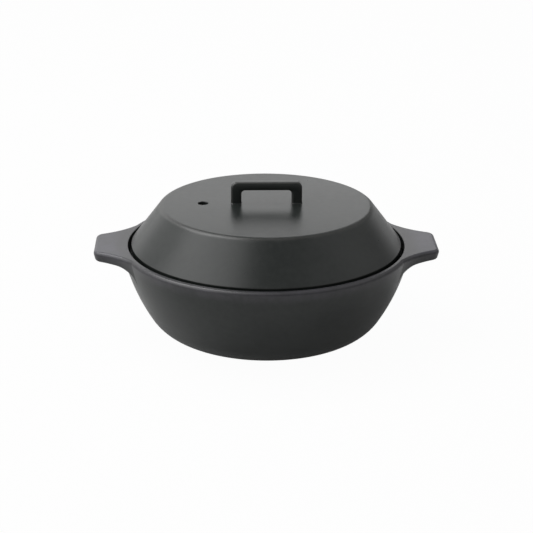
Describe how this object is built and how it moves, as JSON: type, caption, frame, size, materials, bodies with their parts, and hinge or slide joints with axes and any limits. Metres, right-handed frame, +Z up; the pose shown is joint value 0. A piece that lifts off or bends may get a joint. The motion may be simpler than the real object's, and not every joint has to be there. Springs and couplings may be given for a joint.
{
  "type": "donabe clay pot",
  "caption": "Round dark-glazed clay cooking pot with side ears, an inner gallery rim and a lift-off flat-topped lid carrying a bridge handle and a steam vent.",
  "frame": {"origin": "on the pot's axis, at the table level under the foot ring", "axes": "+Z up along the pot's axis, +X through the right-hand ear as seen from the front, front towards -Y, steam vent towards -X"},
  "size_m": [0.3162, 0.266, 0.1457],
  "materials": {
    "charcoal_glaze": "satin charcoal glaze over heat-proof stoneware, bare clay under the foot ring"
  },
  "bodies": {
    "pot": {"pot_body": "charcoal_glaze", "left_ear": "charcoal_glaze", "right_ear": "charcoal_glaze"},
    "lid": {"lid_shell": "charcoal_glaze", "lid_handle": "charcoal_glaze"}
  },
  "joints": [
    {"name": "lid_lift", "type": "slide", "parent": "pot", "child": "lid", "axis": [0, 0, 1], "range_m": [0, 0.15]}
  ]
}
